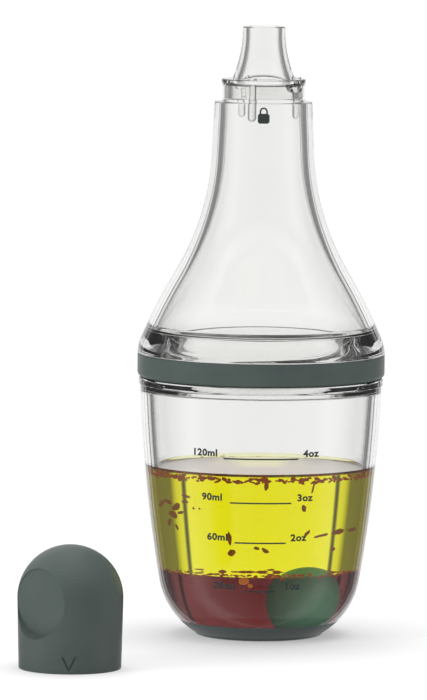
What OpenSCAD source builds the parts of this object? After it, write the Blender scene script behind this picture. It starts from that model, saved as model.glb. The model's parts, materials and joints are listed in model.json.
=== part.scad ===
// Salad dressing shaker: a clear cup with a dark foot, a clear bell-shaped top
// that screws on over a dark sealing band, a pouring spout, a loose mixing ball
// and a domed cap that stands beside the bottle.
// Millimetres. Z is up, the cup's flat base is at z = 0 on the bottle's axis,
// and the printed front of the cup faces -Y.

/* [Cup] */
// Outer radius of the cup just under its flange
cup_top_r = 34.2; // [34:0.1:34.4]
// Height of the underside of the cup's flange
cup_wall_h = 71.2; // [70:0.2:72]
// Wall of the cup
cup_wall = 3.5; // [3:0.1:4]
// Inward lean of the wall just under the flange, in degrees
cup_lean = 2.2; // [1.8:0.1:2.6]
// Radius of the long curve of the wall, seen from the side
cup_bow_r = 427; // [400:1:460]
// Radius of the curve that takes the wall round into the base
cup_corner_r = 21.8; // [21:0.1:22.6]
// Height of the cup's inner floor
cup_floor_z = 3.8; // [3.4:0.1:4.4]
// Outer radius of the flange that carries the sealing band
flange_r = 34.6; // [34.5:0.1:34.8]
// Thickness of that flange
flange_t = 2.0; // [1.6:0.1:2.4]
// Outer radius of the cup's neck, at the root of its thread
neck_r = 28.0; // [27.6:0.1:28.4]
// Inner radius of the cup's mouth
mouth_r = 25.0; // [24.4:0.1:25.4]
// Height of the rim of the cup's mouth
mouth_z = 85.0; // [83:0.5:87]

/* [Foot] */
// Thickness of the foot under the cup
foot_t = 1.6; // [1.2:0.1:2]
// Height of the seam between the foot and the cup, at the outside
foot_seam_z = 4.4; // [4:0.1:5]
// Height of the short upright edge round the foot's flat base
foot_edge_h = 0.7; // [0.5:0.1:1]

/* [Sealing band] */
// Outer radius of the band, the widest part of the bottle
band_r = 35.0; // [34.9:0.1:35.2]
// Height of the band
band_h = 6.6; // [6:0.1:7]
// Thickness of the lip that is squeezed between the bell and the flange
band_lip_t = 0.9; // [0.7:0.1:1.2]
// Radius of the rounded lower edge of the band
band_round = 1.6; // [1:0.1:1.8]

/* [Bell] */
// Outer radius of the neck at its flat top
bell_neck_r = 13.8; // [13.6:0.1:14]
// Height of the neck's flat top
bell_neck_z = 151.3; // [150.6:0.1:152]
// Outward lean of the neck, in degrees
bell_lean = 2.5; // [2.3:0.1:2.7]
// Length of the straight part of the neck
bell_straight = 14.8; // [14:0.1:15.6]
// Radius of the hollow sweep of the bell's side
bell_sweep_r = 70.4; // [69:0.1:72]
// How far that sweep turns outward, in degrees
bell_sweep = 28.3; // [28:0.1:28.6]
// Radius of the crown that turns the side back towards upright
bell_crown_r = 163; // [155:1:170]
// How far the crown turns back, in degrees
bell_crown = 7.6; // [7.2:0.1:8]
// Wall of the bell
bell_wall = 3.3; // [3:0.1:3.5]
// Inner radius of the socket that goes over the cup's neck
socket_r = 30.6; // [30.4:0.1:30.8]
// Height of the ledge where the inside of the bell opens out into the socket
socket_top_z = 86.2; // [85.8:0.1:87]

/* [Collar and spout] */
// Outer radius of the collar on top of the neck
collar_r = 11.6; // [11.4:0.1:11.8]
// Height of the top of the collar
collar_z = 156.5; // [156:0.1:157]
// Inner radius of the collar and of the neck under it
collar_bore_r = 10.9; // [10.8:0.1:11]
// Radius of the two half-round lugs on the collar
lug_r = 2.3; // [2:0.1:2.4]
// How far the lugs reach from the bottle's axis
lug_reach = 12.9; // [12.7:0.1:13]
// Angle of the front lug, right of the front, in degrees
lug_turn = 47; // [40:1:55]
// Outer radius of the spout's flange
spout_flange_r = 11.9; // [11.8:0.1:12]
// Thickness of the spout's flange
spout_flange_t = 1.25; // [1:0.05:1.5]
// Height of the spout's tip
spout_z = 172.5; // [171:0.5:174]
// Outer radius of the spout's tip
spout_r = 6.0; // [5.8:0.1:6.2]
// Wall of the spout
spout_wall = 1.7; // [1.4:0.1:1.9]
// Radius of the hollow curve of the spout's side
spout_curve_r = 34.8; // [34:0.2:36]
// Number of ribs that hold the spout in the neck
rib_count = 3; // [3:1:4]
// Radius of those ribs
rib_r = 1.1; // [0.9:0.1:1.2]
// Height of the lower end of the ribs
rib_end_z = 146; // [144:0.5:148]

/* [Cap] */
// Distance of the cap left of the bottle's axis, where it stands
cap_left = 52; // [50:1:60]
// Distance of the cap in front of the bottle's axis
cap_front = 75; // [70:1:85]
// Radius of the cap's dome
cap_dome_r = 14.5; // [14.4:0.1:14.6]
// Radius of the cap at its base
cap_base_r = 14.05; // [14:0.05:14.2]
// Height where the dome begins
cap_side_h = 19.4; // [19:0.1:20]
// Radius of the two round finger flats
flat_r = 9.1; // [8.8:0.1:9.3]
// Height of the middle of the finger flats
flat_z = 19; // [18.6:0.1:19.4]
// Distance of the flats from the cap's axis
flat_reach = 11.2; // [11:0.1:11.4]
// Angle of the front flat, left of the front, in degrees
flat_turn = 44; // [40:1:50]
// How far the cap turns between open and locked, in degrees
lock_turn = 60; // [50:5:70]

/* [Mixing ball] */
// Diameter of the mixing ball
ball_d = 18; // [17:0.2:18.4]
// Distance of the ball right of the bottle's axis
ball_right = 10.5; // [6:0.5:10.5]
// Distance of the ball in front of the bottle's axis
ball_front = 8; // [0:0.5:8]

/* [Hidden] */

$fn = 96;
slip = 0.1;                             // gap of a part that turns on its neighbour
flange_top_z = cup_wall_h + flange_t;
band_z = flange_top_z + 0.05;           // the band rests on the flange
band_top_z = band_z + band_h;
skirt_r = band_r - 2.1;                 // outside of the bell's skirt, inside the band
skirt_z = band_z + band_lip_t + 0.05;
cup_bow = 7.5;                          // turn of the long curve of the wall, in degrees
foot_skin = 1.2;                        // thickness of the foot where it laps up the cup
cap_bore_r = spout_flange_r + 0.35;     // the liner slides over the spout's flange
liner_r = 13.15;
liner_ceiling_z = 8.0;
well_r = 8.4;                           // inside of the liner's tube, round the spout
lug_z = collar_z - 0.05;

// Points along an arc that starts at p, headed h degrees outward from straight
// down, and turns by t degrees, outward where t is positive
function bend(p, h, r, t, n = 14) =
    let (s = t > 0 ? 1 : -1, c = p + s * r * [cos(h), sin(h)])
    [for (i = [1:n]) let (a = h + t * i / n) c - s * r * [cos(a), sin(a)]];
// The point that is len further along heading h
function go(p, h, len) = p + len * [sin(h), -cos(h)];
// The point at distance d inside a wall whose heading at p is h
function inside(p, h, d) = p - d * [cos(h), sin(h)];
function last(v) = v[len(v) - 1];
function flip(v) = [for (i = [len(v) - 1:-1:0]) v[i]];

// The cup's wall and its round base corner, d inside the outer face. The corner
// runs down to height z.
cup_start = [cup_top_r, cup_wall_h];
corner_heading = -cup_lean - cup_bow;
function cup_wall_line(d) =
    bend(inside(cup_start, -cup_lean, d), -cup_lean, cup_bow_r - d, -cup_bow);
corner_c = inside(last(cup_wall_line(0)), corner_heading, cup_corner_r);
function cup_corner_line(d, z) =
    bend(last(cup_wall_line(d)), corner_heading, cup_corner_r - d,
         asin((z - corner_c[1]) / (cup_corner_r - d)) - corner_heading);

// The foot laps up round the cup's corner between these two lines
function above(v, z) = [for (p = v) if (p[1] > z) p];
function below(v, z) = [for (p = v) if (p[1] < z) p];
seam = last(cup_corner_line(0, foot_seam_z));
seam_in = last(cup_corner_line(foot_skin, foot_seam_z));
foot_lap = below(cup_corner_line(foot_skin, foot_t + 0.2), foot_seam_z - 0.1);
foot_side = below(cup_corner_line(0, foot_edge_h), foot_seam_z - 0.1);

module cup() {
    wall_out = concat(cup_wall_line(0), cup_corner_line(0, foot_seam_z));
    wall_in = concat(cup_wall_line(cup_wall), cup_corner_line(cup_wall, cup_floor_z + 0.1));
    neck_top = [mouth_r + 0.6, mouth_z];
    color("#dfe6e6", 0.4) rotate_extrude() polygon(concat(
        [cup_start], wall_out, [seam_in], foot_lap,
        [[last(foot_lap)[0] - 0.6, foot_t], [0, foot_t], [0, cup_floor_z],
         [last(wall_in)[0] - 0.8, cup_floor_z]],
        flip(wall_in),
        [[mouth_r + 5.5, flange_top_z - 3.4], [mouth_r + 4.8, flange_top_z - 2.2],
         [mouth_r + 3.4, flange_top_z - 1.5], [mouth_r + 1.7, flange_top_z - 0.6],
         [mouth_r + 0.5, flange_top_z + 0.7], [mouth_r, flange_top_z + 2.4],
         [mouth_r, mouth_z - 0.6],
         [mouth_r + 0.2, mouth_z - 0.2], neck_top,
         [neck_r - 0.8, mouth_z], [neck_r - 0.2, mouth_z - 0.3], [neck_r, mouth_z - 0.9],
         [neck_r, flange_top_z], [flange_r - 0.3, flange_top_z],
         [flange_r, flange_top_z - 0.3], [flange_r, cup_wall_h + 0.3]]));
}

module foot() {
    edge_r = last(foot_side)[0] - 0.8;
    color("#4c5856") rotate_extrude() polygon(concat(
        [seam], foot_side,
        [[edge_r, foot_edge_h], [edge_r, 0], [0, 0], [0, foot_t],
         [last(foot_lap)[0] - 0.6, foot_t]],
        flip(foot_lap), [seam_in]));
}

module seal_band() {
    lip_in = socket_r + 0.3;
    corner = [for (i = [0:6]) let (a = -90 * i / 6)
              [band_r - band_round + band_round * cos(a), band_z + band_round + band_round * sin(a)]];
    color("#56625f") rotate_extrude() polygon(concat(
        [[band_r - 0.2, band_top_z], [band_r, band_top_z - 0.2]], corner,
        [[lip_in, band_z], [lip_in, band_z + band_lip_t],
         [skirt_r + slip, band_z + band_lip_t], [skirt_r + slip, band_top_z]]));
}

// The bell's outer line from the neck's top down to the band, and its inner line
// down to where the socket opens
bell_start = [bell_neck_r, bell_neck_z];
sweep_start = go(bell_start, bell_lean, bell_straight);
bell_steep = bell_lean + bell_sweep;
bell_sweep_line = bend(sweep_start, bell_lean, bell_sweep_r, bell_sweep, 18);
bell_crown_line = bend(last(bell_sweep_line), bell_steep, bell_crown_r, -bell_crown, 8);
bell_edge = [band_r, band_top_z + 0.05];
bell_hip_r = 11.1;
bell_hip_line = bend(last(bell_crown_line), bell_steep - bell_crown, bell_hip_r,
                     -(bell_steep - bell_crown), 8);
bell_inner_start = inside(sweep_start, bell_lean, bell_wall - 0.2);
bell_inner_sweep = bend(bell_inner_start, bell_lean, bell_sweep_r + bell_wall - 0.2, bell_sweep, 18);
bell_inner_crown = bend(last(bell_inner_sweep), bell_steep, bell_crown_r - bell_wall,
                        -bell_crown, 8);

module lug(turn) {
    rotate([0, 0, turn]) intersection() {
        translate([0, -collar_r + 0.4, lug_z]) rotate([90, 0, 0])
            cylinder(r = lug_r, h = lug_reach - collar_r + 0.4, $fn = 48);
        translate([-lug_r - 1, -lug_reach - 1, lug_z - lug_r - 1])
            cube([2 * lug_r + 2, lug_reach, lug_r + 1]);
    }
}

module bell() {
    inner = above(concat(bell_inner_sweep, bell_inner_crown), socket_top_z + 0.4);
    color("#e4eaea", 0.4) union() {
        rotate_extrude() polygon(concat(
            [bell_start], [sweep_start], bell_sweep_line, bell_crown_line,
            [for (p = bell_hip_line) if (p[1] > bell_edge[1] + 0.3) p],
            [[bell_edge[0], bell_edge[1] + 0.2], [bell_edge[0] - 0.2, bell_edge[1]],
             [skirt_r, bell_edge[1]], [skirt_r, skirt_z], [socket_r, skirt_z],
             [socket_r, socket_top_z - 0.3], [socket_r - 0.3, socket_top_z],
             [last(inner)[0] + 0.2, socket_top_z]],
            flip(inner),
            [bell_inner_start, [collar_bore_r, rib_end_z], [collar_bore_r, collar_z - 0.05],
             [collar_r - 0.1, collar_z - 0.05], [collar_r, collar_z - 0.15],
             [collar_r, bell_neck_z]]));
        for (side = [0, 180]) lug(lug_turn + side);
    }
}

module spout() {
    spout_turn = 23.5;
    lip = 0.9;                          // straight stretch under the tip
    base_z = collar_z + spout_flange_t;
    side = bend([spout_r, spout_z - lip], 0, spout_curve_r, spout_turn);
    bore = bend([spout_r - spout_wall, spout_z - 2.5], 0, spout_curve_r + 2, spout_turn - 2);
    skirt_in = rib_seat_r() - rib_r;
    skirt_low_z = bell_neck_z + 1;
    color("#eef2f2", 0.4) union() {
        rotate_extrude() polygon(concat(
            [[spout_r - 0.3, spout_z], [spout_r, spout_z - 0.3], [spout_r, spout_z - lip]],
            side,
            [[last(side)[0], base_z], [spout_flange_r - 0.2, base_z],
             [spout_flange_r, base_z - 0.2], [spout_flange_r, collar_z + 0.2],
             [spout_flange_r - 0.2, collar_z], [collar_bore_r - 0.05, collar_z],
             [collar_bore_r - 0.05, skirt_low_z], [skirt_in + 0.5, skirt_low_z],
             [skirt_in + 0.5, collar_z - 0.6]],
            flip(bore),
            [[spout_r - spout_wall, spout_z - 2.5], [spout_r - spout_wall, spout_z - 0.2],
             [spout_r - spout_wall + 0.2, spout_z]]));
        for (i = [0:rib_count - 1]) rotate([0, 0, -18 + i * 360 / rib_count])
            translate([0, -rib_seat_r(), 0]) {
                translate([0, 0, rib_end_z + rib_r])
                    cylinder(r = rib_r, h = base_z + 0.5 - rib_end_z - rib_r, $fn = 32);
                translate([0, 0, rib_end_z + rib_r]) sphere(r = rib_r, $fn = 32);
            }
    }
}
function rib_seat_r() = collar_bore_r - 0.05 - rib_r;

module mixing_ball() {
    color("#7fae90") translate([ball_right, -ball_front, cup_floor_z + 0.02 + ball_d / 2])
        sphere(d = ball_d);
}

module at_cap() translate([-cap_left, -cap_front, 0]) children();

// Cuts one round finger flat, flared a little so that its edge runs out softly
module finger_flat(turn) {
    rotate([0, 0, turn]) translate([0, -flat_reach, flat_z]) rotate([90, 0, 0])
        cylinder(r1 = flat_r, r2 = flat_r + 1.6, h = 5);
}

// The pointer that meets the padlock mark when the cap is locked
module pointer_groove() {
    half_w = 1.7;
    depth = 0.35;
    for (side = [-1, 1]) hull() {
        for (p = [[side * half_w, 4.6], [0, 1.2]])
            translate([p[0], -cap_base_r - 1, p[1]]) rotate([-90, 0, 0])
                cylinder(r = 0.28, h = 1 + depth, $fn = 16);
    }
}

module cap_shell() {
    dome = [for (i = [0:20]) let (a = 90 * i / 20)
            [cap_dome_r * cos(a), cap_side_h + cap_dome_r * sin(a)]];
    crown_r = 11.9;
    crown = [for (i = [0:12]) let (a = 90 - 55 * i / 12)
             [crown_r * cos(a), cap_side_h + crown_r * sin(a)]];
    tube_r = well_r + 1.2;
    color("#56625f") at_cap() difference() {
        rotate_extrude() polygon(concat(
            [[liner_r, 0], [cap_base_r - 0.2, 0], [cap_base_r, 0.2]], dome, crown,
            [[last(crown)[0], 23], [tube_r, 22], [tube_r, liner_ceiling_z + 1.3],
             [liner_r, liner_ceiling_z + 1.3]]));
        for (side = [0, 180]) finger_flat(-flat_turn + side);
        pointer_groove();
    }
}

// One L-shaped slot through the liner's skirt: up from the base, then round to
// where the lug rests when the cap is locked
module lock_slot(turn) {
    slot_w = 2 * lug_r + 0.5;
    slot_low = lug_z - bell_neck_z - lug_r - 0.25;
    slot_high = lug_z - bell_neck_z + 0.3;
    entry = slot_w / (2 * PI * liner_r) * 360;
    rotate([0, 0, turn - 90 - entry / 2 - lock_turn]) {
        rotate_extrude(angle = entry) translate([cap_bore_r - 0.5, -1])
            square([liner_r - cap_bore_r + 1, slot_high + 1]);
        rotate_extrude(angle = entry + lock_turn) translate([cap_bore_r - 0.5, slot_low])
            square([liner_r - cap_bore_r + 1, slot_high - slot_low]);
    }
}

module cap_liner() {
    tube_r = well_r + 1.15;
    top_z = 24;
    color("#7c8684") at_cap() difference() {
        rotate_extrude() polygon([
            [cap_bore_r + 0.2, 0.3], [liner_r - 0.05, 0.3],
            [liner_r - 0.05, liner_ceiling_z + 1.2], [tube_r, liner_ceiling_z + 1.2],
            [tube_r, top_z - 2.2], [tube_r - 0.6, top_z], [2.1, top_z],
            [2.1, top_z - 1.5], [well_r, top_z - 1.5], [well_r, liner_ceiling_z],
            [cap_bore_r, liner_ceiling_z], [cap_bore_r, 0.5]]);
        for (side = [0, 180]) lock_slot(lug_turn + side);
    }
}

// A silicone plug that closes the spout, held by a button through the liner
module cap_stopper() {
    seat_z = spout_z - bell_neck_z + 0.1;
    disc_top = 22.4;
    color("#c9cfcc") at_cap() rotate_extrude() polygon([
        [0, 17.8], [3.4, 17.8], [4.1, 18.6], [4.1, seat_z], [well_r - 0.4, seat_z],
        [well_r - 0.4, disc_top], [1.95, disc_top], [1.95, 24.1], [2.9, 24.1],
        [2.9, 24.6], [2.2, 25.5], [0, 25.5]]);
}

cup();
foot();
seal_band();
bell();
spout();
mixing_ball();
cap_shell();
cap_liner();
cap_stopper();
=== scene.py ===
# %% [markdown]
# # A salad dressing shaker in Blender
#
# The bottle is a clear cup with a dark silicone foot, a clear bell-shaped top that
# screws on over a dark sealing band, and a pouring spout. A mixing ball lies in
# the dressing, and the domed cap stands beside the bottle.
#
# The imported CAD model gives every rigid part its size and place. The clear parts are
# made again here as fine smooth revolves, because light bends through them and
# shows every facet. What only the looks need is added here: oil, vinegar, herbs,
# the thread, the printed scale and the room's light. Blender works in metres, and the
# sizes below are written in millimetres and turned to metres with MM.

import json
import math
import random

import bpy
from mathutils import Matrix, Vector

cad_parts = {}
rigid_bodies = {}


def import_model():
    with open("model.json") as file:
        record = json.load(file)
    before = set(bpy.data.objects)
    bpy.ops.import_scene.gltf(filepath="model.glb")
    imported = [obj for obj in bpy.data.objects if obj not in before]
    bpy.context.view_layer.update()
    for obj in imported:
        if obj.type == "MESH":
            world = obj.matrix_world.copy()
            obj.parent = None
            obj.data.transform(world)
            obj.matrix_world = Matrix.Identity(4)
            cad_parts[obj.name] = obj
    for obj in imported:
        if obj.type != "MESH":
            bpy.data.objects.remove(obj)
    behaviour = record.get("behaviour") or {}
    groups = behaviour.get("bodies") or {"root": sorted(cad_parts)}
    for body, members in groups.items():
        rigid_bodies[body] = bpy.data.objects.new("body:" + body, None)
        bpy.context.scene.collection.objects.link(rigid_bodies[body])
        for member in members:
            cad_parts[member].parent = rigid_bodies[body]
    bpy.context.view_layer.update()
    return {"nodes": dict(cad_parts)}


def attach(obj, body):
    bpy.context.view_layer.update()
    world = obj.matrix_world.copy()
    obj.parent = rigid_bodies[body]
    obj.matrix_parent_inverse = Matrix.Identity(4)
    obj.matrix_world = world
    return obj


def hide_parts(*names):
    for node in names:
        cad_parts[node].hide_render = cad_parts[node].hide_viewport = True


for thing in list(bpy.data.objects):
    bpy.data.objects.remove(thing)
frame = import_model()
bpy.ops.object.select_all(action="DESELECT")
random.seed(7)
MM = 0.001
print("CAD pieces:", ", ".join(sorted(frame["nodes"])))

# %% [markdown]
# ## The camera
#
# A product photograph like this is taken with a long lens from far off, so that the
# sides of the bottle hardly draw together. The ellipses of the band, the rim and the
# base show how far the camera looks down. A near camera with a short lens could frame
# the bottle as well, but its ellipses would open more from the rim to the base.

# %% Place the camera
CAMERA_AT = (-0.0135, -1.9374, 0.2564)
LOOKS_DOWN = 5.181
ROLL = 0.5
LENS = 353.3

bpy.ops.object.camera_add(location=CAMERA_AT)
camera = bpy.context.object
camera.name = "camera"
camera.rotation_mode = "QUATERNION"
tilt = Matrix.Rotation(math.radians(90 - LOOKS_DOWN), 4, "X")
roll = Matrix.Rotation(math.radians(ROLL), 4, "Z")
camera.rotation_quaternion = (tilt @ roll).to_quaternion()
camera.data.sensor_width = 36
camera.data.lens = LENS
camera.data.clip_end = 50
bpy.context.scene.camera = camera
print("camera:", LENS, "mm lens, looking down by", LOOKS_DOWN, "degrees")

# %% [markdown]
# ## Tools for materials
#
# Colours are picked as the screen shows them, but a shader adds up light, so it wants
# linear values. One function turns the first into the second. Another adds a node with
# its options, its values and the wires that come into it, in the order in which a
# person would set them in the shader editor.


# %% Turn a screen colour into a shader's colour
def linear(hex_colour):
    """A colour such as "#7fae90" as the linear red, green, blue and alpha of a shader."""
    parts = [int(hex_colour[i : i + 2], 16) / 255 for i in (1, 3, 5)]
    return [c / 12.92 if c <= 0.04045 else ((c + 0.055) / 1.055) ** 2.4 for c in parts] + [1.0]


WHITE = linear("#ffffff")
print("mid grey on the screen is", round(linear("#808080")[0], 3), "to a shader")


# %% Start a material and add nodes to it
def new_material(name):
    """An empty node material and its Principled shader."""
    material = bpy.data.materials.new(name)
    material.use_nodes = True
    return material, material.node_tree.nodes["Principled BSDF"]


def add_node(owner, kind, settings=(), values=(), links=()):
    """Adds one node to a material or a world. settings are the node's own options, values go
    to its sockets, and links give the node and output that each wired socket comes from."""
    node = owner.node_tree.nodes.new(kind)
    for option, value in dict(settings).items():
        setattr(node, option, value)
    for socket, value in dict(values).items():
        node.inputs[socket].default_value = value
    for socket, (source, output) in dict(links).items():
        join(owner, source, output, node, socket)
    return node


def join(owner, source, output, target, socket):
    """Wires one node's output into another node's socket."""
    owner.node_tree.links.new(source.outputs[output], target.inputs[socket])


def set_stops(ramp, stops):
    """Gives a colour ramp its stops, each a position from 0 to 1 and a colour."""
    elements = ramp.color_ramp.elements
    while len(elements) < len(stops):
        elements.new(0.5)
    for element, (position, colour) in zip(elements, stops):
        element.position = position
        element.color = colour


# %% [markdown]
# ## Moulded plastic and silicone
#
# The foot, the band, the ball and the cap are moulded. Their pigment is never quite
# even, and the mould leaves a fine matte grain. A flat colour would look like paint, so
# two near colours lie in soft patches, and a noise texture raises the grain. The grain of
# a real mould is about a twentieth of a millimetre, which no render of this size shows,
# so it is drawn several times as coarse.

# %% The moulded finish
PATCH_MM = 16.67
GRAIN_DEPTH_MM = 0.1


def moulded(name, light, dark, roughness, grains, bump):
    """A moulded finish. grains is how many grains lie along a millimetre."""
    material, shader = new_material(name)
    place = add_node(material, "ShaderNodeTexCoord")
    patches = add_node(
        material, "ShaderNodeTexNoise",
        values={"Scale": 1 / (PATCH_MM * MM), "Detail": 3.0}, links={"Vector": (place, "Object")},
    )
    pigment = add_node(material, "ShaderNodeValToRGB", links={"Fac": (patches, "Fac")})
    set_stops(pigment, ((0.35, linear(dark)), (0.65, linear(light))))
    grain = add_node(
        material, "ShaderNodeTexNoise",
        values={"Scale": grains / MM, "Detail": 2.0}, links={"Vector": (place, "Object")},
    )
    raised = add_node(
        material, "ShaderNodeBump",
        values={"Strength": bump, "Distance": GRAIN_DEPTH_MM * MM}, links={"Height": (grain, "Fac")},
    )
    join(material, pigment, "Color", shader, "Base Color")
    join(material, raised, "Normal", shader, "Normal")
    shader.inputs["Roughness"].default_value = roughness
    return material


# %% The silicones
# Dark silicone, moulded in a matte mould: the foot. It drinks in light and has no shine.
foot_silicone = moulded("foot_silicone", "#4b5855", "#44504e", 0.5, 2.6, 0.15)
# The same silicone in the band, from a smoother mould, so that it catches a little light.
band_silicone = moulded("band_silicone", "#4f5c58", "#485451", 0.42, 2.6, 0.12)
# Undyed silicone: the plug in the cap. It looks milky.
stopper_silicone = moulded("stopper_silicone", "#cdd2d0", "#c4cac7", 0.45, 2.6, 0.1)
# Soft green silicone: the mixing ball. Real silicone lets light in and looks lit from
# inside. A faint glow stands for that, as little light reaches the ball in a render.
ball_silicone = moulded("ball_silicone", "#8fd0a8", "#86c89f", 0.5, 2.6, 0.1)
ball_shader = ball_silicone.node_tree.nodes["Principled BSDF"]
ball_shader.inputs["Emission Color"].default_value = linear("#6fb88c")
ball_shader.inputs["Emission Strength"].default_value = 0.2
print("silicones:", foot_silicone.name, band_silicone.name, stopper_silicone.name, ball_silicone.name)

# %% The plastics
# Polypropylene from a spark-eroded mould: the cap's shell. It has an even eggshell sheen.
cap_plastic = moulded("cap_polypropylene", "#4e5955", "#48534f", 0.46, 3.8, 0.2)
# Plain polypropylene from a smoother mould: the liner inside the cap.
liner_plastic = moulded("liner_polypropylene", "#5e6a66", "#57635f", 0.5, 3.0, 0.1)
print("plastics:", cap_plastic.name, liner_plastic.name)

# %% [markdown]
# ## Clear plastic and ink
#
# The cup, the bell and the spout are a clear copolyester from a polished mould. It bends
# light more than water does, so thick places draw dark lines, and it is a faint grey
# where a wall is seen along its length. The Principled shader's transmission does all of
# that from one colour and an index of refraction, so it needs no further nodes. The
# scale and the padlock are screen printed, in a dark ink without shine.

# %% The clear plastic and the ink
clear_plastic, clear_shader = new_material("clear_copolyester")
clear_shader.inputs["Base Color"].default_value = linear("#fdfdfc")
clear_shader.inputs["Roughness"].default_value = 0.0
clear_shader.inputs["IOR"].default_value = 1.57
clear_shader.inputs["Transmission Weight"].default_value = 1.0
ink, ink_shader = new_material("printing_ink")
ink_shader.inputs["Base Color"].default_value = linear("#343b3a")
ink_shader.inputs["Roughness"].default_value = 0.55
print("clear plastic bends light by", round(clear_shader.inputs["IOR"].default_value, 2))

# %% [markdown]
# ## Oil, vinegar and herbs
#
# A liquid's colour deepens with the light's way through it. Volume absorption does that,
# and keeps thin places pale. At its sides, where the cup shows its liquid edge on, a Layer
# Weight node tints the surface with painted shade, brown in the oil. The liquids' own
# mirror image is dimmed, because the cup's wall lies over it and has its own.

# %% The liquids
EDGE_STARTS = 0.16
EDGE_FULL = 0.4


def liquid(name, colour, ior, density, rim):
    """A tinted liquid. rim is the colour of its painted shade where it is seen edge on."""
    material, shader = new_material(name)
    edge_on = add_node(material, "ShaderNodeLayerWeight", values={"Blend": 0.5})
    # Painted shade: the surface turns towards the rim colour where it is seen edge on.
    tint = add_node(material, "ShaderNodeValToRGB", links={"Fac": (edge_on, "Facing")})
    set_stops(tint, ((EDGE_STARTS, WHITE), (EDGE_FULL, linear(rim))))
    deepen = add_node(
        material, "ShaderNodeVolumeAbsorption", values={"Color": linear(colour), "Density": density}
    )
    join(material, tint, "Color", shader, "Base Color")
    join(material, deepen, "Volume", material.node_tree.nodes["Material Output"], "Volume")
    shader.inputs["Roughness"].default_value = 0.0
    shader.inputs["IOR"].default_value = ior
    shader.inputs["Transmission Weight"].default_value = 1.0
    shader.inputs["Specular Tint"].default_value = linear("#595959")
    return material


# Olive oil: bright yellow, with a brown painted shade where it is seen edge on.
oil_liquid = liquid("olive_oil", "#fdfc00", 1.47, 95.0, "#a04800")
# Red wine vinegar: a deep red, with a darker red painted shade where it is seen edge on, as at the
# cup's round corner.
vinegar_liquid = liquid("red_wine_vinegar", "#bf1e26", 1.345, 88.0, "#8a2028")
print("liquids:", oil_liquid.name, vinegar_liquid.name)

# %% The oil's surface
# The same oil, with a pale film that shows only at a low angle, where a real surface
# mirrors the bright wall behind it.
oil_surface = liquid("olive_oil_surface", "#fdfc00", 1.47, 95.0, "#ffffff")
oil_shader = oil_surface.node_tree.nodes["Principled BSDF"]
oil_shader.inputs["Specular Tint"].default_value = WHITE
low_angle = add_node(oil_surface, "ShaderNodeLayerWeight", values={"Blend": 0.5})
only_low = add_node(
    oil_surface, "ShaderNodeMapRange",
    values={"From Min": 0.7, "From Max": 0.95, "To Max": 0.75}, links={"Value": (low_angle, "Facing")},
)
glint = add_node(
    oil_surface, "ShaderNodeBsdfAnisotropic", values={"Color": linear("#fff7f1"), "Roughness": 0.3}
)
film = add_node(
    oil_surface, "ShaderNodeMixShader",
    links={"Fac": (only_low, "Result"), 1: (oil_shader, "BSDF"), 2: (glint, "BSDF")},
)
join(oil_surface, film, "Shader", oil_surface.node_tree.nodes["Material Output"], "Surface")
print("oil surface:", len(oil_surface.node_tree.nodes), "nodes")


# %% The herbs
def herb(name, light, dark):
    """Dried leaf: rough, and thin enough to let light through, which a faint glow stands
    for, because little light finds its way into the liquid in a render."""
    material = moulded(name, light, dark, 0.8, 0.9, 0.4)
    shader = material.node_tree.nodes["Principled BSDF"]
    shader.inputs["Emission Color"].default_value = linear(light)
    shader.inputs["Emission Strength"].default_value = 0.35
    return material


# Dried oregano leaf, the dark one and the brown one, and crushed dried red pepper.
leaf_dark = herb("herb_dark", "#a25c08", "#643004")
leaf_brown = herb("herb_brown", "#b05606", "#7c3402")
spice_red = herb("spice_red", "#e88828", "#c05a14")
print("herbs:", leaf_dark.name, leaf_brown.name, spice_red.name)

# %% [markdown]
# ## Tools for pieces
#
# Nearly every piece of this bottle is round, so they are made the same way: an outline of
# radius and height goes round the upright axis. A Screw modifier that doesn't climb does
# this, and on outlines as fine as these it is much quicker than the spin operator. The
# outlines come from arcs with the CAD part's own radii, with many more points, because
# a facet in clear plastic shows as a stripe.


# %% Finish a piece and put it on its body
def pick(piece):
    """Selects one object alone and makes it active, as a click on it does."""
    bpy.ops.object.select_all(action="DESELECT")
    piece.select_set(True)
    bpy.context.view_layer.objects.active = piece


def finish_piece(piece, material, body, replaces=(), angle=30):
    """Gives a finished mesh its material and shading, and the CAD body that it moves with."""
    piece.data.materials.clear()
    piece.data.materials.append(material)
    pick(piece)
    bpy.ops.object.shade_smooth_by_angle(angle=math.radians(angle))
    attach(piece, body)
    if replaces:
        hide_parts(*replaces)
    triangles = sum(len(face.vertices) - 2 for face in piece.data.polygons)
    print(f"{piece.name}: {triangles} triangles on the body {body}")


# %% Add a modifier and apply it
def modify(piece, kind, **settings):
    """Adds one modifier with its settings and applies it."""
    pick(piece)
    modifier = piece.modifiers.new(kind.lower(), kind)
    for option, value in settings.items():
        setattr(modifier, option, value)
    bpy.ops.object.modifier_apply(modifier=modifier.name)


def combine(piece, tool, operation):
    """Adds a solid to a piece with UNION or cuts it out with DIFFERENCE, and removes it."""
    modify(piece, "BOOLEAN", operation=operation, solver="EXACT", object=tool)
    bpy.data.objects.remove(tool)


# %% Draw an outline
def arc(start, heading, radius, turn, steps):
    """Points along an arc from start. heading is in degrees outward from straight down, and
    turn in degrees, outward where it is positive. The start itself is left out."""
    side = 1 if turn > 0 else -1
    h = math.radians(heading)
    cx = start[0] + side * radius * math.cos(h)
    cz = start[1] + side * radius * math.sin(h)
    points = []
    for i in range(1, steps + 1):
        a = h + math.radians(turn) * i / steps
        points.append((cx - side * radius * math.cos(a), cz - side * radius * math.sin(a)))
    return points


def inward(point, heading, distance):
    """The point that lies the distance inside a wall whose heading there is heading."""
    h = math.radians(heading)
    return (point[0] - distance * math.cos(h), point[1] - distance * math.sin(h))


# %% Round an outline's corners
ON_AXIS = 1e-6
SHARPEST = 155


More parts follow.
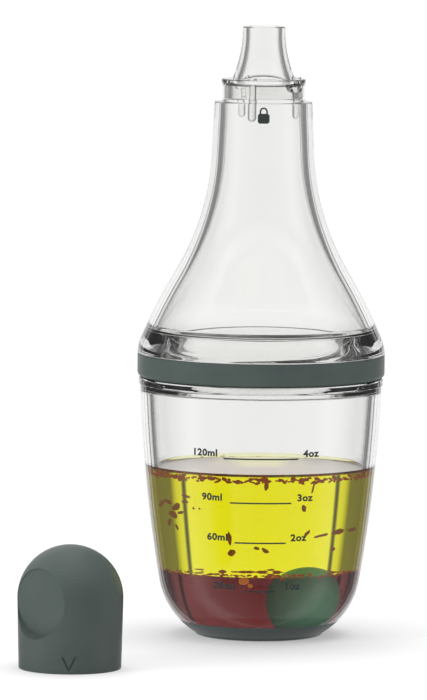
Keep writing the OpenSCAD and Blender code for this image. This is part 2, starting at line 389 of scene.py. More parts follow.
def rounded(points, radius, steps=4):
    """The closed outline with each corner rounded, by radius or as much as fits. A corner
    that opens wider than SHARPEST degrees is part of a curve and stays as it is."""
    made = []
    count = len(points)
    for i, p in enumerate(points):
        here = Vector(p)
        a = Vector(points[i - 1]) - here
        b = Vector(points[(i + 1) % count]) - here
        opening = math.degrees(a.angle(b)) if a.length > ON_AXIS and b.length > ON_AXIS else 180
        if p[0] < ON_AXIS or opening > SHARPEST:
            made.append(tuple(p))
            continue
        reach = min(radius / math.tan(math.radians(opening / 2)), 0.45 * a.length, 0.45 * b.length)
        p0 = here + a.normalized() * reach
        p1 = here + b.normalized() * reach
        for k in range(steps + 1):
            t = k / steps
            made.append(tuple((1 - t) ** 2 * p0 + 2 * t * (1 - t) * here + t**2 * p1))
    return made


def split_long(points, longest, above=0):
    """The closed outline with its long edges cut into equal shorter ones. With a height given
    as above, the edges that reach below it stay as they are."""
    made = []
    for i, p in enumerate(points):
        q = points[(i + 1) % len(points)]
        made.append(p)
        along_axis = p[0] < ON_AXIS and q[0] < ON_AXIS
        left_alone = along_axis or min(p[1], q[1]) < above
        cuts = 0 if left_alone else int(math.dist(p, q) / longest)
        for k in range(1, cuts + 1):
            t = k / (cuts + 1)
            made.append((p[0] + (q[0] - p[0]) * t, p[1] + (q[1] - p[1]) * t))
    return made


def radius_on(line, z):
    """The radius at a height on a line of points that is sorted by height."""
    for a, b in zip(line, line[1:]):
        if a[1] <= z <= b[1]:
            return a[0] + (b[0] - a[0]) * (z - a[1]) / max(b[1] - a[1], 1e-9)
    return line[-1][0]


# %% Turn an outline round the axis
WELD = 1e-6


def revolve(name, outline, steps=192):
    """A closed outline of (radius, height) in millimetres, turned round the upright axis. The
    full turn's ends and the points on the axis are welded, which closes the solid."""
    count = len(outline)
    edges = [(i, (i + 1) % count) for i in range(count)]
    edges = [(i, j) for i, j in edges if max(outline[i][0], outline[j][0]) > ON_AXIS]
    mesh = bpy.data.meshes.new(name)
    mesh.from_pydata([(0, -r * MM, z * MM) for r, z in outline], edges, [])
    piece = bpy.data.objects.new(name, mesh)
    bpy.context.scene.collection.objects.link(piece)
    modify(
        piece, "SCREW", axis="Z", angle=2 * math.pi, steps=steps, render_steps=steps,
        use_merge_vertices=True, merge_threshold=WELD,
    )
    bpy.ops.object.mode_set(mode="EDIT")
    bpy.ops.mesh.select_all(action="SELECT")
    bpy.ops.mesh.remove_doubles(threshold=WELD)
    bpy.ops.mesh.normals_make_consistent(inside=False)
    bpy.ops.object.mode_set(mode="OBJECT")
    return piece


# %% [markdown]
# ## The clear cup
#
# The real cup is one moulding: a bowed wall that leans in, a round corner, a thick flange
# and a neck with a three-start thread. A subdivided cylinder could be pulled to the
# shape, but its wall would come out uneven, and clear plastic shows that at once. So
# both faces are drawn as arcs, one the wall's thickness inside the other, and turned.

# %% The cup's measures and its two faces
CUP_START = (34.2, 71.2)
CUP_LEAN = 2.2
CUP_BOW_R = 427.0
CUP_BOW = 7.5
CORNER_R = 21.8
CORNER_HEADING = -CUP_LEAN - CUP_BOW
CUP_WALL = 3.5
FLOOR_Z = 3.8


def cup_wall_line(depth, steps=24):
    """The bowed side, depth inside the outer face."""
    start = inward(CUP_START, -CUP_LEAN, depth)
    return arc(start, -CUP_LEAN, CUP_BOW_R - depth, -CUP_BOW, steps)


corner_centre = inward(cup_wall_line(0)[-1], CORNER_HEADING, CORNER_R)


def cup_corner_line(depth, z, steps=40):
    """The round corner, depth inside the outer face, from the side down to a height."""
    rise = (z - corner_centre[1]) / (CORNER_R - depth)
    turn = math.degrees(math.asin(rise)) - CORNER_HEADING
    return arc(cup_wall_line(depth)[-1], CORNER_HEADING, CORNER_R - depth, turn, steps)


cup_inner = cup_wall_line(CUP_WALL) + cup_corner_line(CUP_WALL, FLOOR_Z + 0.1)
print("cup: inside radius", round(cup_inner[0][0], 1), "mm at the top of its side")

# %% The recess for the foot
SEAM_Z = 4.4
FOOT_LAP = 1.2
SOLE_Z = 1.6

cup_outer = [CUP_START] + cup_wall_line(0) + cup_corner_line(0, SEAM_Z)
seam_inside = cup_corner_line(FOOT_LAP, SEAM_Z)[-1]
lap_line = [p for p in cup_corner_line(FOOT_LAP, SOLE_Z + 0.2) if p[1] < SEAM_Z - 0.1]
lap_end = (lap_line[-1][0] - 0.6, SOLE_Z)
floor_edge = (cup_inner[-1][0] - 0.8, FLOOR_Z)
cup_base = [seam_inside] + lap_line + [lap_end, (0, SOLE_Z), (0, FLOOR_Z), floor_edge]
print("cup: its base is", round(2 * lap_end[0], 1), "mm across inside the foot")

# %% The shoulder, the neck and the flange
MOUTH_R = 25.0
NECK_R = 28.0
MOUTH_Z = 85.0
FLANGE_R = 34.6
FLANGE_Z = 73.2

cup_shoulder = [(30.5, 69.8), (29.8, 71.0), (28.4, 71.7), (26.7, 72.6), (25.5, 73.9), (MOUTH_R, 75.6)]
cup_mouth = [
    (MOUTH_R, MOUTH_Z - 0.6), (MOUTH_R + 0.2, MOUTH_Z - 0.2), (MOUTH_R + 0.6, MOUTH_Z),
    (NECK_R - 0.8, MOUTH_Z), (NECK_R - 0.2, MOUTH_Z - 0.3), (NECK_R, MOUTH_Z - 0.9),
]
cup_flange = [
    (NECK_R, FLANGE_Z), (FLANGE_R - 0.3, FLANGE_Z), (FLANGE_R, FLANGE_Z - 0.3), (FLANGE_R, 71.5),
]
cup_outline = cup_outer + cup_base + cup_inner[::-1] + cup_shoulder + cup_mouth + cup_flange

# Shading is spread over the edges beside a corner. The flange and the mouth have sharp
# corners in plain sight, so their edges are cut finer than the gently curved walls.
cup_points = split_long(split_long(cup_outline, 0.3, above=69.5), 0.6)
cup = revolve("cup_clear", cup_points, steps=204)
print("cup outline:", len(cup_outline), "points")

# %% [markdown]
# ## The thread
#
# The neck's ridges climb 12 mm a turn in three starts. A separate helix could lie on the
# neck, but where two clear solids overlap, light bends at a face that isn't there. So
# the neck's own points move out along the helix, and the cup stays one closed piece.

# %% Raise the thread on the neck
THREAD_LEAD = 12.0
THREAD_STARTS = 3
RIDGE_HALF = 1.6
RIDGE_HIGH = 1.0
RIDGE_FADE = 1.2
THREAD_FROM, THREAD_TO = 74.2, 80.6


def ridge_at(angle, z):
    """How far the ridge stands out, from 0 to 1, at an angle round the axis and a height."""
    pitch = THREAD_LEAD / THREAD_STARTS
    offset = (z - angle / (2 * math.pi) * THREAD_LEAD) % pitch
    offset = min(offset, pitch - offset)
    ridge = 0.5 + 0.5 * math.cos(math.pi * min(1.0, offset / RIDGE_HALF))
    run_out = min(1.0, (z - THREAD_FROM) / RIDGE_FADE, (THREAD_TO - z) / RIDGE_FADE)
    return ridge * max(0.0, run_out)


moved = 0
for v in cup.data.vertices:
    r = math.hypot(v.co.x, v.co.y)
    z = v.co.z / MM
    if abs(r / MM - NECK_R) < 0.05 and THREAD_FROM < z < THREAD_TO:
        grown = (NECK_R + RIDGE_HIGH * ridge_at(math.atan2(v.co.y, v.co.x), z)) * MM
        v.co.x *= grown / r
        v.co.y *= grown / r
        moved += 1
print("thread:", moved, "points moved")
finish_piece(cup, clear_plastic, "cup", ["cup"], angle=40)

# %% [markdown]
# ## The clear bell
#
# The top opens from a narrow neck into a bell: a short straight neck, a long hollow
# sweep, a crown that bends back a little, and a tight hip over the band. Each of these is
# one arc, and each starts with the heading at which the last one ended, so the light
# runs down the side without a break.

# %% The bell's side, outside and inside
BELL_TOP = (13.8, 151.3)
NECK_RUN = 14.8
NECK_LEAN = 2.5
SWEEP_R, SWEEP = 70.4, 28.3
CROWN_R, CROWN = 163.0, 7.6
CROWN_IN_R = 159.7
HIP_R = 11.1
BELL_WALL = 3.1
CROWN_HEADING = NECK_LEAN + SWEEP
HIP_HEADING = CROWN_HEADING - CROWN

lean = math.radians(NECK_LEAN)
sweep_start = (BELL_TOP[0] + NECK_RUN * math.sin(lean), BELL_TOP[1] - NECK_RUN * math.cos(lean))
bell_sweep = arc(sweep_start, NECK_LEAN, SWEEP_R, SWEEP, 48)
bell_crown = arc(bell_sweep[-1], CROWN_HEADING, CROWN_R, -CROWN, 24)
bell_hip = arc(bell_crown[-1], HIP_HEADING, HIP_R, -HIP_HEADING, 20)
inner_start = inward(sweep_start, NECK_LEAN, BELL_WALL)
bell_inner = arc(inner_start, NECK_LEAN, SWEEP_R + BELL_WALL, SWEEP, 48)
bell_inner += arc(bell_inner[-1], CROWN_HEADING, CROWN_IN_R, -CROWN, 24)
print("bell:", round(2 * bell_hip[-1][0], 1), "mm across at its hip")

# %% The bell's rim, socket and collar
RIM_R, RIM_Z = 35.0, 79.95
SKIRT_R, SKIRT_Z = 32.9, 74.2
SOCKET_R, SOCKET_TOP = 30.6, 86.2
COLLAR_R, COLLAR_BORE, COLLAR_TOP = 11.6, 10.9, 156.45

bell_inner = [p for p in bell_inner if p[1] > SOCKET_TOP + 0.4]
bell_side = [BELL_TOP, sweep_start] + bell_sweep + bell_crown
bell_rim = [p for p in bell_hip if p[1] > RIM_Z + 0.3] + [
    (RIM_R, RIM_Z + 0.2), (RIM_R - 0.2, RIM_Z), (SKIRT_R, RIM_Z), (SKIRT_R, SKIRT_Z),
]
bell_socket = [
    (SOCKET_R, SKIRT_Z), (SOCKET_R, SOCKET_TOP - 0.3), (SOCKET_R - 0.3, SOCKET_TOP),
    (bell_inner[-1][0] + 0.2, SOCKET_TOP),
]
bell_collar = [
    inner_start, (COLLAR_BORE, 146.0), (COLLAR_BORE, COLLAR_TOP), (COLLAR_R - 0.1, COLLAR_TOP),
    (COLLAR_R, COLLAR_TOP - 0.1), (COLLAR_R, BELL_TOP[1]),
]
bell_outline = bell_side + bell_rim + bell_socket + bell_inner[::-1] + bell_collar
bell = revolve("bell_clear", split_long(rounded(bell_outline, 0.25), 0.6), steps=208)
print("bell outline:", len(bell_outline), "points")

# %% [markdown]
# ## The lugs
#
# Two half-round lugs on the collar lock the cap when it is turned. Each is a cylinder
# that lies along the radius, cut in half by the bisect operator, which also closes the
# cut. A boolean joins it to the bell, so that light passes through one body.

# %% Two lugs on the collar
LUG_R = 2.3
LUG_LONG = 2.6

for turn in (47, 227):
    a = math.radians(turn)
    bpy.ops.mesh.primitive_cylinder_add(
        vertices=48, radius=LUG_R * MM, depth=LUG_LONG * MM,
        location=(COLLAR_R * math.sin(a) * MM, -COLLAR_R * math.cos(a) * MM, COLLAR_TOP * MM),
        rotation=(math.pi / 2, 0, a),
    )
    lug = bpy.context.object
    bpy.ops.object.transform_apply(location=True, rotation=True, scale=True)
    bpy.ops.object.mode_set(mode="EDIT")
    bpy.ops.mesh.select_all(action="SELECT")
    bpy.ops.mesh.bisect(
        plane_co=(0, 0, COLLAR_TOP * MM), plane_no=(0, 0, 1), use_fill=True, clear_outer=True
    )
    bpy.ops.object.mode_set(mode="OBJECT")
    combine(bell, lug, "UNION")
finish_piece(bell, clear_plastic, "top", ["bell"])

# %% [markdown]
# ## The pouring spout
#
# A thin hollow curve rises from a flange that rests on the collar. Three round ribs hang
# from the flange and hold the spout in the neck. They are rods with ball ends, and are
# joined to the spout for the same reason as the lugs.

# %% The spout's body
TIP_Z = 172.5
SPOUT_OUT, SPOUT_IN = 6.0, 4.3
SPOUT_FLANGE_R, SPOUT_FLANGE_TOP = 11.9, 157.75
PLUG_R, PLUG_BORE, PLUG_END = 10.85, 9.15, 152.3

spout_side = arc((SPOUT_OUT, TIP_Z - 0.9), 0, 34.8, 23.5, 30)
spout_bore = arc((SPOUT_IN, TIP_Z - 2.5), 0, 36.8, 21.5, 30)
spout_tip = [(SPOUT_OUT - 0.3, TIP_Z), (SPOUT_OUT, TIP_Z - 0.3), (SPOUT_OUT, TIP_Z - 0.9)]
spout_flange = [
    (spout_side[-1][0], SPOUT_FLANGE_TOP), (SPOUT_FLANGE_R - 0.2, SPOUT_FLANGE_TOP),
    (SPOUT_FLANGE_R, SPOUT_FLANGE_TOP - 0.2), (SPOUT_FLANGE_R, 156.7), (SPOUT_FLANGE_R - 0.2, 156.5),
]
spout_plug = [(PLUG_R, 156.5), (PLUG_R, PLUG_END), (PLUG_BORE, PLUG_END), (PLUG_BORE, 155.9)]
spout_inside = spout_bore[::-1] + [
    (SPOUT_IN, TIP_Z - 2.5), (SPOUT_IN, TIP_Z - 0.2), (SPOUT_IN + 0.2, TIP_Z),
]
spout_outline = spout_tip + spout_side + spout_flange + spout_plug + spout_inside
spout = revolve("spout_clear", split_long(rounded(spout_outline, 0.2), 0.6), steps=160)
print("spout: its bore is", 2 * SPOUT_IN, "mm at the tip")

# %% The spout's three ribs
RIB_R = 1.1
RIBS_AT = 9.75
RIB_END, RIB_LONG = 147.1, 11.1
FIRST_RIB = -18

for i in range(3):
    a = math.radians(FIRST_RIB + 120 * i)
    x, y = RIBS_AT * math.sin(a) * MM, -RIBS_AT * math.cos(a) * MM
    bpy.ops.mesh.primitive_cylinder_add(
        vertices=32, radius=RIB_R * MM, depth=RIB_LONG * MM,
        location=(x, y, (RIB_END + RIB_LONG / 2) * MM),
    )
    combine(spout, bpy.context.object, "UNION")
    bpy.ops.mesh.primitive_uv_sphere_add(
        segments=32, ring_count=16, radius=RIB_R * MM, location=(x, y, RIB_END * MM)
    )
    combine(spout, bpy.context.object, "UNION")
finish_piece(spout, clear_plastic, "top", ["spout"])

# %% [markdown]
# ## Foot, band and ball
#
# The silicone foot laps up round the cup's corner, and the band is squeezed between cup
# and top. Their CAD solids have the right shape, but their edges show facets against
# the smooth clear parts, so they are made again from the same points that the cup uses.
# The ball is a plain sphere in life too, so a fine sphere is all that it needs.

# %% The foot
foot_outer = [p for p in cup_corner_line(0, 0.7) if p[1] < SEAM_Z - 0.1]
sole_r = foot_outer[-1][0]
foot_sole = [(sole_r - 0.4, 0.2), (sole_r - 0.9, 0), (0, 0), (0, SOLE_Z), lap_end]
foot_outline = [cup_outer[-1]] + foot_outer + foot_sole + lap_line[::-1] + [seam_inside]
foot = revolve("foot_pad", foot_outline)
finish_piece(foot, foot_silicone, "cup", ["foot"])

# %% The band
BAND_TOP, BAND_TURN, BAND_END = 79.85, 74.85, 73.25
BAND_BEND = 1.6

band_bend = [
    (RIM_R - BAND_BEND + BAND_BEND * math.cos(math.radians(a)),
     BAND_TURN + BAND_BEND * math.sin(math.radians(a)))
    for a in range(-10, -91, -10)
]
band_lip = [(30.9, BAND_END), (30.9, 74.15), (33.0, 74.15), (33.0, BAND_TOP)]
band_outline = [(RIM_R, BAND_TOP), (RIM_R, BAND_TURN)] + band_bend + band_lip
band = revolve("seal_band_ring", split_long(rounded(band_outline, 0.2), 1.0), steps=224)
finish_piece(band, band_silicone, "band", ["seal_band"])

# %% The mixing ball
BALL_AT = (10.5 * MM, -8 * MM, 12.82 * MM)
BALL_R = 9.0


def fine_ball(radius):
    """A sphere where the mixing ball lies, with its place in its mesh."""
    bpy.ops.mesh.primitive_uv_sphere_add(
        segments=96, ring_count=48, radius=radius * MM, location=BALL_AT
    )
    bpy.ops.object.transform_apply(location=True, rotation=True, scale=True)
    return bpy.context.object


ball = fine_ball(BALL_R)
ball.name = "mixing_ball_round"
finish_piece(ball, ball_silicone, "ball", ["mixing_ball"])

# %% [markdown]
# ## The cap
#
# The cap's dome, finger flats and lock slots are right in the CAD model, and its plastic
# isn't clear, so nothing gives its facets away. Its three solids stay, and only get
# their finish. A solid of the frame is never changed, but its material slots are free.

# %% The finish of the cap
CAP_FINISH = {
    "cap_shell": cap_plastic,
    "cap_liner": liner_plastic,
    "cap_stopper": stopper_silicone,
}
for node, material in CAP_FINISH.items():
    solid = frame["nodes"][node]
    solid.data.materials.clear()
    solid.data.materials.append(material)
    print(node, "has the finish", material.name)

# %% [markdown]
# ## Oil and vinegar
#
# Each liquid fills the cup to its own level and reaches a hair into the wall, so that no
# film of air shows between them, which would shine like silver. The oil lies on the
# vinegar and climbs the wall a little, as every liquid does, and both leave room for
# the ball.

# %% The line where the liquids meet the cup
OIL_TOP = 47.8
MEET_Z = 19.4
INTO_WALL = 0.05
BALL_ROOM = 8.98
wet_line = sorted(cup_inner + [floor_edge], key=lambda p: p[1])


def wall_side(low, high, steps):
    """The liquid's side against the wall, from one height up to another."""
    heights = [low + (high - low) * i / steps for i in range(steps + 1)]
    return [(radius_on(wet_line, z) + INTO_WALL, z) for z in heights]


print("the oil is", round(2 * radius_on(wet_line, OIL_TOP), 1), "mm across at its surface")

# %% The oil
wet = radius_on(wet_line, OIL_TOP)
oil_climb = [(wet - 0.35, OIL_TOP + 0.45), (wet - 0.9, OIL_TOP + 0.15), (wet - 2.0, OIL_TOP)]
oil_side = wall_side(MEET_Z, OIL_TOP + 0.9, 60)
oil = revolve("oil_layer", [(0, MEET_Z)] + oil_side + oil_climb + [(0, OIL_TOP)])
combine(oil, fine_ball(BALL_ROOM), "DIFFERENCE")
finish_piece(oil, oil_liquid, "cup")
oil.data.materials.append(oil_surface)
for face in oil.data.polygons:
    if face.normal.z > 0.6 and face.center.z > (OIL_TOP - 0.3) * MM:
        face.material_index = 1
print("oil surface:", sum(face.material_index for face in oil.data.polygons), "faces")

# %% The vinegar
UNDER_OIL = MEET_Z - 0.02
vinegar_base = [
    (0, FLOOR_Z - INTO_WALL),
    (radius_on(wet_line, FLOOR_Z + 0.1) - 0.6, FLOOR_Z - INTO_WALL),
]
vinegar_side = wall_side(FLOOR_Z + 0.1, UNDER_OIL, 40)
vinegar = revolve("vinegar_layer", vinegar_base + vinegar_side + [(0, UNDER_OIL)])
combine(vinegar, fine_ball(BALL_ROOM), "DIFFERENCE")
finish_piece(vinegar, vinegar_liquid, "cup")

# %% [markdown]
# ## The printed scale
#
# The cup carries plain graduations: four lines, with their volumes on the left and the
# same in ounces on the right. An image texture could print them, but here each mark is
# real geometry: a flat sheet that is bent round the wall and given a film of ink's
# thickness, so it stays sharp from any distance and keeps its place in the exported model.

# %% Bend a flat mark round the bottle
cup_side_line = sorted(cup_outer, key=lambda p: p[1])
bell_side_line = sorted(bell_side, key=lambda p: p[1])
INK_LIFT = 0.03
INK_THICK = 0.02


def wrap(piece, line):
    """Bends a flat mesh in the XZ plane round the bottle, whose outer face is line. x is
    the length round the wall and z the height."""
    for v in piece.data.vertices:
        x, y, z = v.co.x / MM, v.co.y / MM, v.co.z / MM
        wall = radius_on(line, z)
        r = wall + INK_LIFT - y
        a = x / wall
        v.co = (r * math.sin(a) * MM, -r * math.cos(a) * MM, z * MM)


def print_on(mark, line, body):
    """Lays a flat mark on the wall as a thin closed sheet of ink."""
    wrap(mark, line)
    modify(mark, "SOLIDIFY", thickness=INK_THICK * MM, offset=0)
    finish_piece(mark, ink, body)


# %% Draw words and lines
def text_mark(name, words, x, z, align):
    """A line of print, standing in the XZ plane in front of the bottle."""
    bpy.ops.object.text_add()
    mark = bpy.context.object
    mark.name = name
    mark.data.body = words
    mark.data.size = 2.7 * MM
    mark.data.space_character = 1.08
    mark.data.align_x = align
    mark.data.align_y = "CENTER"
    mark.data.resolution_u = 3
    mark.data.offset = 0.11 * MM
    bpy.ops.object.convert(target="MESH")
    mark = bpy.context.object
    for v in mark.data.vertices:
        v.co = (v.co.x * 1.1 + x * MM, 0, v.co.y + z * MM)
    return mark


def flat_strip(name, width, tall, x, z, across):
    """A flat strip in the XZ plane, centred at x and z, with a row of faces across it."""
    bpy.ops.mesh.primitive_grid_add(
        x_subdivisions=across, y_subdivisions=1, size=1,
        location=(x * MM, 0, z * MM), rotation=(math.pi / 2, 0, 0),
    )
    strip = bpy.context.object
    strip.name = name
    strip.scale = (width * MM, tall * MM, 1)
    bpy.ops.object.transform_apply(location=True, rotation=True, scale=True)
    return strip


# %% Print the scale
LINE_THICK = 0.42
LINE_STEP = 0.5
TEXT_LIFT = 1.4
# Each graduation: its line's height and width, its volume in millilitres and in ounces,
# and how far the two labels' near edges are from the middle.
GRADUATIONS = (
    (53.2, 21.3, "120ml", "4oz", 12.4, 12.1),
    (40.7, 17.3, "90ml", "3oz", 10.9, 10.4),
    (29.35, 14.4, "60ml", "2oz", 9.2, 8.6),
    (15.45, 8.4, "30ml", "1oz", 7.0, 6.9),
)
for z, width, volume, ounces, left, right in GRADUATIONS:
    line = flat_strip("line_" + volume, width, LINE_THICK, 0, z, int(width / LINE_STEP))
    print_on(line, cup_side_line, "cup")
    label = text_mark("label_" + volume, volume, -left, z + TEXT_LIFT, "RIGHT")
    print_on(label, cup_side_line, "cup")
    label = text_mark("label_" + ounces, ounces, right, z + TEXT_LIFT, "LEFT")
    print_on(label, cup_side_line, "cup")

# %% [markdown]
# ## The padlock mark
#
# A plain padlock on the bell's neck shows where the cap locks. Its body is three strips,
# the upper and the lower one narrower, which rounds its corners at this size. The
# shackle starts as one leg: its top edge is spun through half a turn, and the edge that
# arrives on the other side is extruded down as the second leg.

# %% The padlock's body and shackle
LOCK_Z = 148.1
SHACKLE_OUT, SHACKLE_IN = 1.15, 0.7
LEG_FROM, LEG_TO = 0.45, 1.1

lock_parts = [
    flat_strip("lock_body", 2 * half, high - low, 0, LOCK_Z + (low + high) / 2, 8)
    for low, high, half in ((-2.3, -2.0, 1.35), (-2.0, 0.2, 1.65), (0.2, 0.5, 1.35))
]
leg_long = LEG_TO - LEG_FROM
shackle = flat_strip(
    "shackle", SHACKLE_OUT - SHACKLE_IN, leg_long,
    (SHACKLE_OUT + SHACKLE_IN) / 2, LOCK_Z + (LEG_FROM + LEG_TO) / 2, 1,
)
pick(shackle)
leg_top = (LOCK_Z + LEG_TO - 0.1) * MM
for part in (*shackle.data.polygons, *shackle.data.edges):
    part.select = False
for v in shackle.data.vertices:
    v.select = v.co.z > leg_top
for edge in shackle.data.edges:
    edge.select = all(shackle.data.vertices[i].select for i in edge.vertices)
bpy.ops.object.mode_set(mode="EDIT")
bpy.ops.mesh.spin(steps=12, angle=math.pi, center=(0, 0, (LOCK_Z + LEG_TO) * MM), axis=(0, 1, 0))
bpy.ops.mesh.extrude_region_move(TRANSFORM_OT_translate={"value": (0, 0, -leg_long * MM)})
bpy.ops.mesh.select_all(action="SELECT")
bpy.ops.mesh.normals_make_consistent(inside=False)
bpy.ops.object.mode_set(mode="OBJECT")
print("shackle:", len(shackle.data.polygons), "faces")

# %% Print the padlock
pick(shackle)
for part in lock_parts:
    part.select_set(True)
bpy.ops.object.join()
shackle.name = "padlock_mark"
print_on(shackle, bell_side_line, "top")

# %% [markdown]
# ## Herbs and pepper
#
# Dried leaves hang in the oil near the cup's wall, float along the rim of its surface,
# and settle where oil and vinegar meet. Hundreds of them are needed, so each has only
# the twenty faces of an icosphere: its points are pulled out along the leaf, squashed
# flat, bent a little and moved at random, and no two leaves come out alike. A particle
# system could scatter copies, but it would give no say in where the large ones lie.

# %% The leaf that all flakes start from
bpy.ops.mesh.primitive_ico_sphere_add(subdivisions=1, radius=1.0)
seed = bpy.context.object
SEED_POINTS = [v.co.copy() for v in seed.data.vertices]
SEED_FACES = [tuple(face.vertices) for face in seed.data.polygons]
bpy.data.objects.remove(seed)
FLAKE_THICK = 0.3
print("a flake has", len(SEED_FACES), "faces")


def flake(centre, long_way, out, length, width):
    """The points of one flake, long in the direction long_way and flat across out."""
    a = long_way.normalized()
    b = out.cross(a).normalized()
    n = a.cross(b)
    points = []
    for p in SEED_POINTS:
        broad = random.uniform(0.55, 1.25)
        long = random.uniform(0.8, 1.1)
        bend = 0.25 * p.x * p.x
        along = a * (p.x * length / 2 * long)
        across = b * (p.y * width / 2 * broad)
        through = n * (p.z * FLAKE_THICK / 2 + bend * width * 0.3)
        points.append((centre + along + across + through) * MM)
    return points


# %% Gather flakes into one object
def flakes(name, material, places):
    """One object that holds many flakes. Each place is an angle right of the front in
    degrees, height, depth inside the wall, length, width and tilt from level in degrees."""
    points = []
    faces = []
    for angle, z, depth, length, width, slope in places:
        a = math.radians(angle)
        s = math.radians(slope)
        r = radius_on(wet_line, z) - depth
        centre = Vector((r * math.sin(a), -r * math.cos(a), z))
        round_way = Vector((math.cos(a), math.sin(a), 0))
        out = Vector((math.sin(a), -math.cos(a), 0))
        first = len(points)
        long_way = round_way * math.cos(s) + Vector((0, 0, math.sin(s)))
        points += flake(centre, long_way, out, length, width)
        faces += [tuple(first + i for i in face) for face in SEED_FACES]
    mesh = bpy.data.meshes.new(name)
    mesh.from_pydata(points, [], faces)
    piece = bpy.data.objects.new(name, mesh)
    bpy.context.scene.collection.objects.link(piece)
    finish_piece(piece, material, "cup", angle=20)


def scattered(count, angles, level, above, depths, lengths, widths, slopes):
    """Places for that many flakes, each measure drawn at random between two limits."""
    return [
        (random.uniform(*angles), level + random.uniform(*above), random.uniform(*depths),
         random.uniform(*lengths), random.uniform(*widths), random.uniform(*slopes))
        for _ in range(count)
    ]


# %% The leaves that hang in the oil
hanging_leaves = [
    (-68, 38.6, 1.2, 4.6, 1.8, 32), (-61, 39.4, 1.0, 4.8, 1.5, -8), (-54, 38.2, 1.2, 4.4, 2.2, 24),
    (-57, 36.0, 1.1, 4.4, 2.8, -18), (-61, 33.6, 1.0, 3.0, 2.0, 60), (-55, 32.4, 1.3, 2.6, 1.6, -50),
    (-50, 36.8, 1.0, 3.2, 1.2, 12), (-46, 40.0, 1.0, 3.0, 1.0, 4), (-45, 41.6, 0.9, 3.6, 0.8, -8),
    (-40, 38.4, 0.9, 0.9, 0.8, 0), (-36, 38.4, 0.9, 0.8, 0.7, 0), (25, 39.0, 0.9, 2.4, 1.7, 100),
    (30, 45.0, 0.9, 4.8, 0.9, 76), (28, 31.9, 0.9, 2.8, 1.3, 50), (38, 31.0, 1.2, 5.6, 1.3, 8),
    (50, 31.6, 1.0, 6.4, 2.0, 6), (64, 31.8, 1.2, 5.0, 1.6, 4), (48, 26.8, 1.0, 1.9, 1.5, 10),
    (-18, 30.4, 0.9, 4.6, 1.3, 96), (-17, 26.4, 0.9, 2.6, 2.4, 40), (-2, 27.8, 0.9, 2.0, 1.2, -12),
    (3, 27.2, 0.9, 2.6, 1.3, -30), (3, 45.6, 1.2, 3.4, 1.6, 85),
]
flakes("herb_leaves", leaf_dark, hanging_leaves)

# %% The leaves along the oil's rim and under the oil
edge = scattered(150, (-88, 88), OIL_TOP, (-0.2, -1.6), (0.5, 1.2), (1.0, 3.0), (0.6, 1.3), (-30, 30))
back = scattered(40, (95, 265), OIL_TOP, (-0.1, -1.2), (0.5, 1.6), (0.8, 2.0), (0.5, 0.9), (-25, 25))
flakes("herb_edge", leaf_brown, edge + back)
meet = scattered(
    200, (-180, 180), MEET_Z, (-0.5, 0.7), (0.4, 1.4), (0.8, 2.4), (0.4, 0.9), (-20, 20)
)
flakes("herb_meeting", leaf_brown, meet)

# %% The pepper
sunk = [(-10, 18.2, 0.9, 3.6, 2.6, 12), (-6, 17.0, 0.9, 1.8, 1.4, 0)]
specks = [
    (random.uniform(-85, 85), random.choice((MEET_Z + 0.5, OIL_TOP - 0.8)),
     random.uniform(0.5, 1.2), random.uniform(0.7, 1.6), random.uniform(0.4, 0.9),
     random.uniform(-30, 30))
    for _ in range(40)
]
flakes("spice_flakes", spice_red, sunk + specks)

# %% [markdown]
# ## The floor
#
# The bottle stands on white paper that runs on without a horizon. A floor that is lit
# until it turns white would also burn out the bottle, so the paper keeps most of its own
# colour near the bottle, with the shadow, which a painted white glow lightens, and turns to
# plain white with the distance, for the camera alone. The clear plastic doesn't see it,
# and shows the room instead.

# %% The white floor
bpy.ops.mesh.primitive_plane_add(size=9, location=(0, 2.4, 0))
floor = bpy.context.object
floor.name = "floor"
paper, paper_shader = new_material("white_paper")
paper_shader.inputs["Base Color"].default_value = linear("#f7f7f7")
paper_shader.inputs["Roughness"].default_value = 0.9
paper_shader.inputs["Specular IOR Level"].default_value = 0.0
on_floor = add_node(paper, "ShaderNodeTexCoord")
centred = add_node(
    paper, "ShaderNodeMapping",
    values={"Location": (0.02, 2.44, 0)}, links={"Vector": (on_floor, "Object")},
)
distance = add_node(
    paper, "ShaderNodeVectorMath", {"operation": "LENGTH"}, links={0: (centred, "Vector")}
)
# Painted light: the floor is about a third white glow even next to the bottle, which lightens the
# shadow, and it is all glow from 0.4 m out.
fade = add_node(
    paper, "ShaderNodeMapRange", {"interpolation_type": "SMOOTHSTEP"},
    {"From Min": 0.05, "From Max": 0.4, "To Min": 0.35}, {"Value": (distance, "Value")},
)
for_camera = add_node(paper, "ShaderNodeLightPath")
amount = add_node(
    paper, "ShaderNodeMath", {"operation": "MULTIPLY"},
    links={0: (fade, "Result"), 1: (for_camera, "Is Camera Ray")},
)
white = add_node(paper, "ShaderNodeEmission", values={"Color": WHITE, "Strength": 1.0})
blend = add_node(
    paper, "ShaderNodeMixShader",
    links={"Fac": (amount, "Value"), 1: (paper_shader, "BSDF"), 2: (white, "Emission")},
)
join(paper, blend, "Shader", paper.node_tree.nodes["Material Output"], "Surface")
floor.data.materials.append(paper)
floor.visible_transmission = False
floor.visible_glossy = False
print("floor:", [round(side, 1) for side in floor.dimensions[:2]], "metres")

# %% [markdown]
# ## The room
#
# Clear plastic has no colour of its own. It shows the room, bent, and the dark lines
# along its edges are dark places in the room. A studio puts black cards to both sides of
# a white wall. Here the world itself does that: its brightness depends on the compass
# direction, with a narrow dark strip to either side of the bright wall and a dim end
# behind the camera. Higher up it turns to an even light. The camera sees pure white.

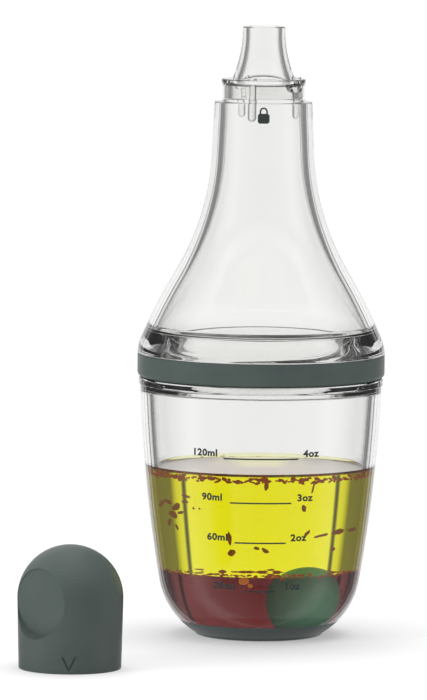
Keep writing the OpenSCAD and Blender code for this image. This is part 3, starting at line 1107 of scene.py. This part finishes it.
# %% The room's light
# Straight behind the bottle is 0 degrees, and behind the camera is 180. Each pair is an
# angle to either side and how bright the room is there.
ROOM = (
    (0, 1.0), (27.4, 1.0), (28.4, 0.06), (29.8, 0.06), (30.8, 0.9), (34, 0.8), (38, 0.2),
    (50, 0.2), (56, 0.3), (78, 0.3), (86, 0.4), (98, 0.7), (122, 0.35), (180, 0.2),
)
EVEN_LIGHT = 0.8


def grey(level):
    """A light of that brightness without a tint."""
    return (level, level, level, 1)


world = bpy.data.worlds.new("studio")
bpy.context.scene.world = world
world.use_nodes = True
room_light = world.node_tree.nodes["Background"]
outlook = add_node(world, "ShaderNodeTexCoord")
parts = add_node(world, "ShaderNodeSeparateXYZ", links={"Vector": (outlook, "Generated")})
compass = add_node(
    world, "ShaderNodeMath", {"operation": "ARCTAN2"}, links={0: (parts, "X"), 1: (parts, "Y")}
)
either_side = add_node(
    world, "ShaderNodeMath", {"operation": "ABSOLUTE"}, links={0: (compass, "Value")}
)
share = add_node(
    world, "ShaderNodeMath", {"operation": "DIVIDE"}, {1: math.pi}, {0: (either_side, "Value")}
)
ring_of_light = add_node(world, "ShaderNodeValToRGB", links={"Fac": (share, "Value")})
set_stops(ring_of_light, [(angle / 180, grey(level)) for angle, level in ROOM])
print("room: a ring of", len(ROOM), "stops of light")

# %% The light from above, and the white that the camera sees
height = add_node(
    world, "ShaderNodeMapRange", {"interpolation_type": "SMOOTHSTEP"},
    {"From Min": 0.3, "From Max": 0.75}, {"Value": (parts, "Z")},
)
lift = add_node(
    world, "ShaderNodeMix", {"data_type": "RGBA"}, {7: grey(EVEN_LIGHT)},
    {"Factor": (height, "Result"), 6: (ring_of_light, "Color")},
)
seen = add_node(world, "ShaderNodeLightPath")
show = add_node(
    world, "ShaderNodeMix", {"data_type": "RGBA"}, {7: grey(1.0)},
    {"Factor": (seen, "Is Camera Ray"), 6: (lift, 2)},
)
join(world, show, 2, room_light, "Color")
room_light.inputs["Strength"].default_value = 1.0
print("room: even light of", EVEN_LIGHT, "above")


# %% [markdown]
# ## The lamps
#
# Two soft boxes lay the shadows on the floor and a gentle light on the cap. The clear
# plastic would show each as a hard white square, so they are hidden from it.

# %% Two soft boxes
def softbox(name, place, aim, size, power):
    """A square area light that points at aim."""
    bpy.ops.object.light_add(type="AREA", location=place)
    lamp = bpy.context.object
    lamp.name = name
    lamp.data.shape = "SQUARE"
    lamp.data.size = size
    lamp.data.energy = power
    lamp.rotation_mode = "QUATERNION"
    lamp.rotation_quaternion = (Vector(aim) - Vector(place)).to_track_quat("-Z", "Y")
    lamp.visible_glossy = False
    lamp.visible_transmission = False
    print(name, "light:", power, "watts from a square of", size, "m")


softbox("overhead", (0.1, 0.3, 1.5), (0, 0, 0.05), 1.2, 14)
softbox("left", (-1.3, -0.8, 0.35), (-0.05, -0.07, 0.03), 0.5, 9)
bpy.context.scene.view_settings.view_transform = "Standard"
